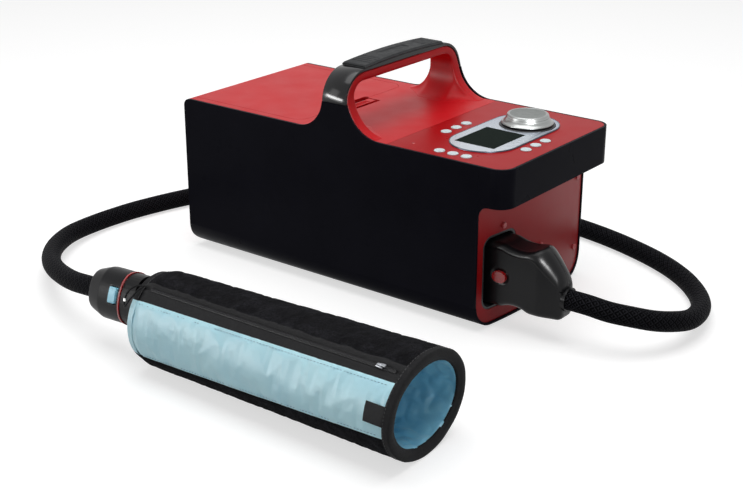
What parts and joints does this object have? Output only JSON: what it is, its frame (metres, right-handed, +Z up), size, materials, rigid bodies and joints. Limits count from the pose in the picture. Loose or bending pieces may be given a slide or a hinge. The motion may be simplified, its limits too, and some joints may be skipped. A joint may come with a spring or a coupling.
{
  "type": "hot cold therapy machine",
  "caption": "Portable cold and heat therapy machine with arched carry handle, control deck and insulated reservoir, joined by a braided hose to a zipped tube-shaped therapy sleeve.",
  "frame": {"origin": "on the table, under the middle of the machine's foot ring", "axes": "+X towards the control end of the machine, -Y towards the side the sleeve lies on, +Z up"},
  "size_m": [0.687, 0.5815, 0.2373],
  "materials": {
    "shell_black": "satin",
    "housing_red": "satin",
    "wall_red": "satin",
    "rubber_black": "matte",
    "membrane_red": "satin",
    "bezel_grey": "gloss",
    "display_dark": "gloss",
    "button_grey": "satin",
    "knob_metal": "brushed",
    "steel": "satin",
    "inner_black": "matte",
    "inner_white": "matte",
    "foam": "matte",
    "board_green": "satin",
    "impeller": "satin",
    "tube_clear": "gloss",
    "connector_black": "satin",
    "release_red": "satin",
    "release_blue": "satin",
    "braid_black": "matte",
    "sleeve_fabric": "matte",
    "binding_black": "matte"
  },
  "bodies": {
    "machine": {"left_side_panel": "shell_black", "right_side_panel": "shell_black", "front_brow": "shell_black", "base_pan": "shell_black", "foot_ring": "rubber_black", "deck_housing": "housing_red", "handle_core": "housing_red", "handle_cover": "shell_black", "grip_pad": "rubber_black", "front_wall": "wall_red", "rear_wall": "wall_red", "wall_screws": "wall_red", "connector_socket": "inner_black", "power_inlet": "inner_black", "control_panel": "membrane_red", "display_bezel": "bezel_grey", "lcd_window": "display_dark", "lcd_module": "inner_white", "knob_collar": "inner_black", "encoder": "inner_black", "control_board": "board_green", "reservoir": "inner_white", "reservoir_insulation": "foam", "reservoir_strainer": "inner_black", "lid_hinge_pin": "steel", "pump_housing": "inner_black", "air_compressor": "inner_black", "valve_manifold": "inner_white", "fluid_tubes": "tube_clear", "main_board": "board_green"},
    "lid_body": {"lid": "housing_red", "lid_liner": "inner_white", "lid_gasket": "rubber_black"},
    "latch": {"lid_latch": "housing_red"},
    "knob_stem": {"knob_shaft": "steel"},
    "knob": {"control_knob": "knob_metal"},
    "impeller": {"pump_rotor": "impeller"},
    "hose_set": {"hose_plug": "inner_black", "machine_connector": "connector_black", "hose_collars": "connector_black", "hose": "braid_black", "sleeve_connector": "connector_black", "connector_ring": "release_red"},
    "red_release": {"connector_button": "release_red"},
    "blue_release": {"sleeve_button": "release_blue"},
    "sleeve": {"sleeve_port": "connector_black", "sleeve_cover": "sleeve_fabric", "sleeve_bladder": "sleeve_fabric", "sleeve_bindings": "binding_black"},
    "zip": {"zip_slider": "steel"},
    "button_body_1": {"button_1": "button_grey"},
    "button_body_2": {"button_2": "button_grey"},
    "button_body_3": {"button_3": "button_grey"},
    "button_body_4": {"button_4": "button_grey"},
    "button_body_5": {"button_5": "button_grey"},
    "button_body_6": {"button_6": "button_grey"},
    "button_body_7": {"button_7": "button_grey"},
    "button_body_8": {"button_8": "button_grey"},
    "button_body_9": {"button_9": "button_grey"}
  },
  "joints": [
    {"name": "lid_hinge", "type": "hinge", "parent": "machine", "child": "lid_body", "pos_m": [-0.1985, 0, 0.163], "axis": [0, -1, 0], "range_deg": [0, 100]},
    {"name": "latch_slide", "type": "slide", "parent": "machine", "child": "latch", "axis": [1, 0, 0], "range_m": [0, 0.005], "stiffness_N_per_m": 200, "springref_m": -0.003},
    {"name": "button_press_1", "type": "slide", "parent": "machine", "child": "button_body_1", "axis": [0, 0, -1], "range_m": [0, 0.0006], "stiffness_N_per_m": 2000, "springref_m": -0.0005},
    {"name": "button_press_2", "type": "slide", "parent": "machine", "child": "button_body_2", "axis": [0, 0, -1], "range_m": [0, 0.0006], "stiffness_N_per_m": 2000, "springref_m": -0.0005},
    {"name": "button_press_3", "type": "slide", "parent": "machine", "child": "button_body_3", "axis": [0, 0, -1], "range_m": [0, 0.0006], "stiffness_N_per_m": 2000, "springref_m": -0.0005},
    {"name": "button_press_4", "type": "slide", "parent": "machine", "child": "button_body_4", "axis": [0, 0, -1], "range_m": [0, 0.0006], "stiffness_N_per_m": 2000, "springref_m": -0.0005},
    {"name": "button_press_5", "type": "slide", "parent": "machine", "child": "button_body_5", "axis": [0, 0, -1], "range_m": [0, 0.0006], "stiffness_N_per_m": 2000, "springref_m": -0.0005},
    {"name": "button_press_6", "type": "slide", "parent": "machine", "child": "button_body_6", "axis": [0, 0, -1], "range_m": [0, 0.0006], "stiffness_N_per_m": 2000, "springref_m": -0.0005},
    {"name": "button_press_7", "type": "slide", "parent": "machine", "child": "button_body_7", "axis": [0, 0, -1], "range_m": [0, 0.0006], "stiffness_N_per_m": 2000, "springref_m": -0.0005},
    {"name": "button_press_8", "type": "slide", "parent": "machine", "child": "button_body_8", "axis": [0, 0, -1], "range_m": [0, 0.0006], "stiffness_N_per_m": 2000, "springref_m": -0.0005},
    {"name": "button_press_9", "type": "slide", "parent": "machine", "child": "button_body_9", "axis": [0, 0, -1], "range_m": [0, 0.0006], "stiffness_N_per_m": 2000, "springref_m": -0.0005},
    {"name": "knob_press", "type": "slide", "parent": "machine", "child": "knob_stem", "axis": [0, 0, -1], "range_m": [0, 0.001], "stiffness_N_per_m": 3000, "springref_m": -0.0012},
    {"name": "knob_turn", "type": "hinge", "parent": "knob_stem", "child": "knob", "pos_m": [0.142, 0.04, 0.174], "axis": [0, 0, 1], "continuous": true},
    {"name": "pump_spin", "type": "hinge", "parent": "machine", "child": "impeller", "pos_m": [-0.03, -0.056, 0.046], "axis": [1, 0, 0], "continuous": true},
    {"name": "hose_unplug", "type": "slide", "parent": "machine", "child": "hose_set", "axis": [1, 0, 0], "range_m": [0, 0.028]},
    {"name": "red_release_press", "type": "slide", "parent": "hose_set", "child": "red_release", "axis": [0, 1, 0], "range_m": [0, 0.002], "stiffness_N_per_m": 800, "springref_m": -0.002},
    {"name": "blue_release_press", "type": "slide", "parent": "hose_set", "child": "blue_release", "axis": [0.1663, 0.9133, -0.3718], "range_m": [0, 0.0018], "stiffness_N_per_m": 800, "springref_m": -0.002},
    {"name": "sleeve_unplug", "type": "slide", "parent": "hose_set", "child": "sleeve", "axis": [0.9841, -0.1296, 0.1219], "range_m": [0, 0.024]},
    {"name": "zip_slide", "type": "slide", "parent": "sleeve", "child": "zip", "axis": [0.9999, 0.0142, 0], "range_m": [-0.235, 0]}
  ]
}
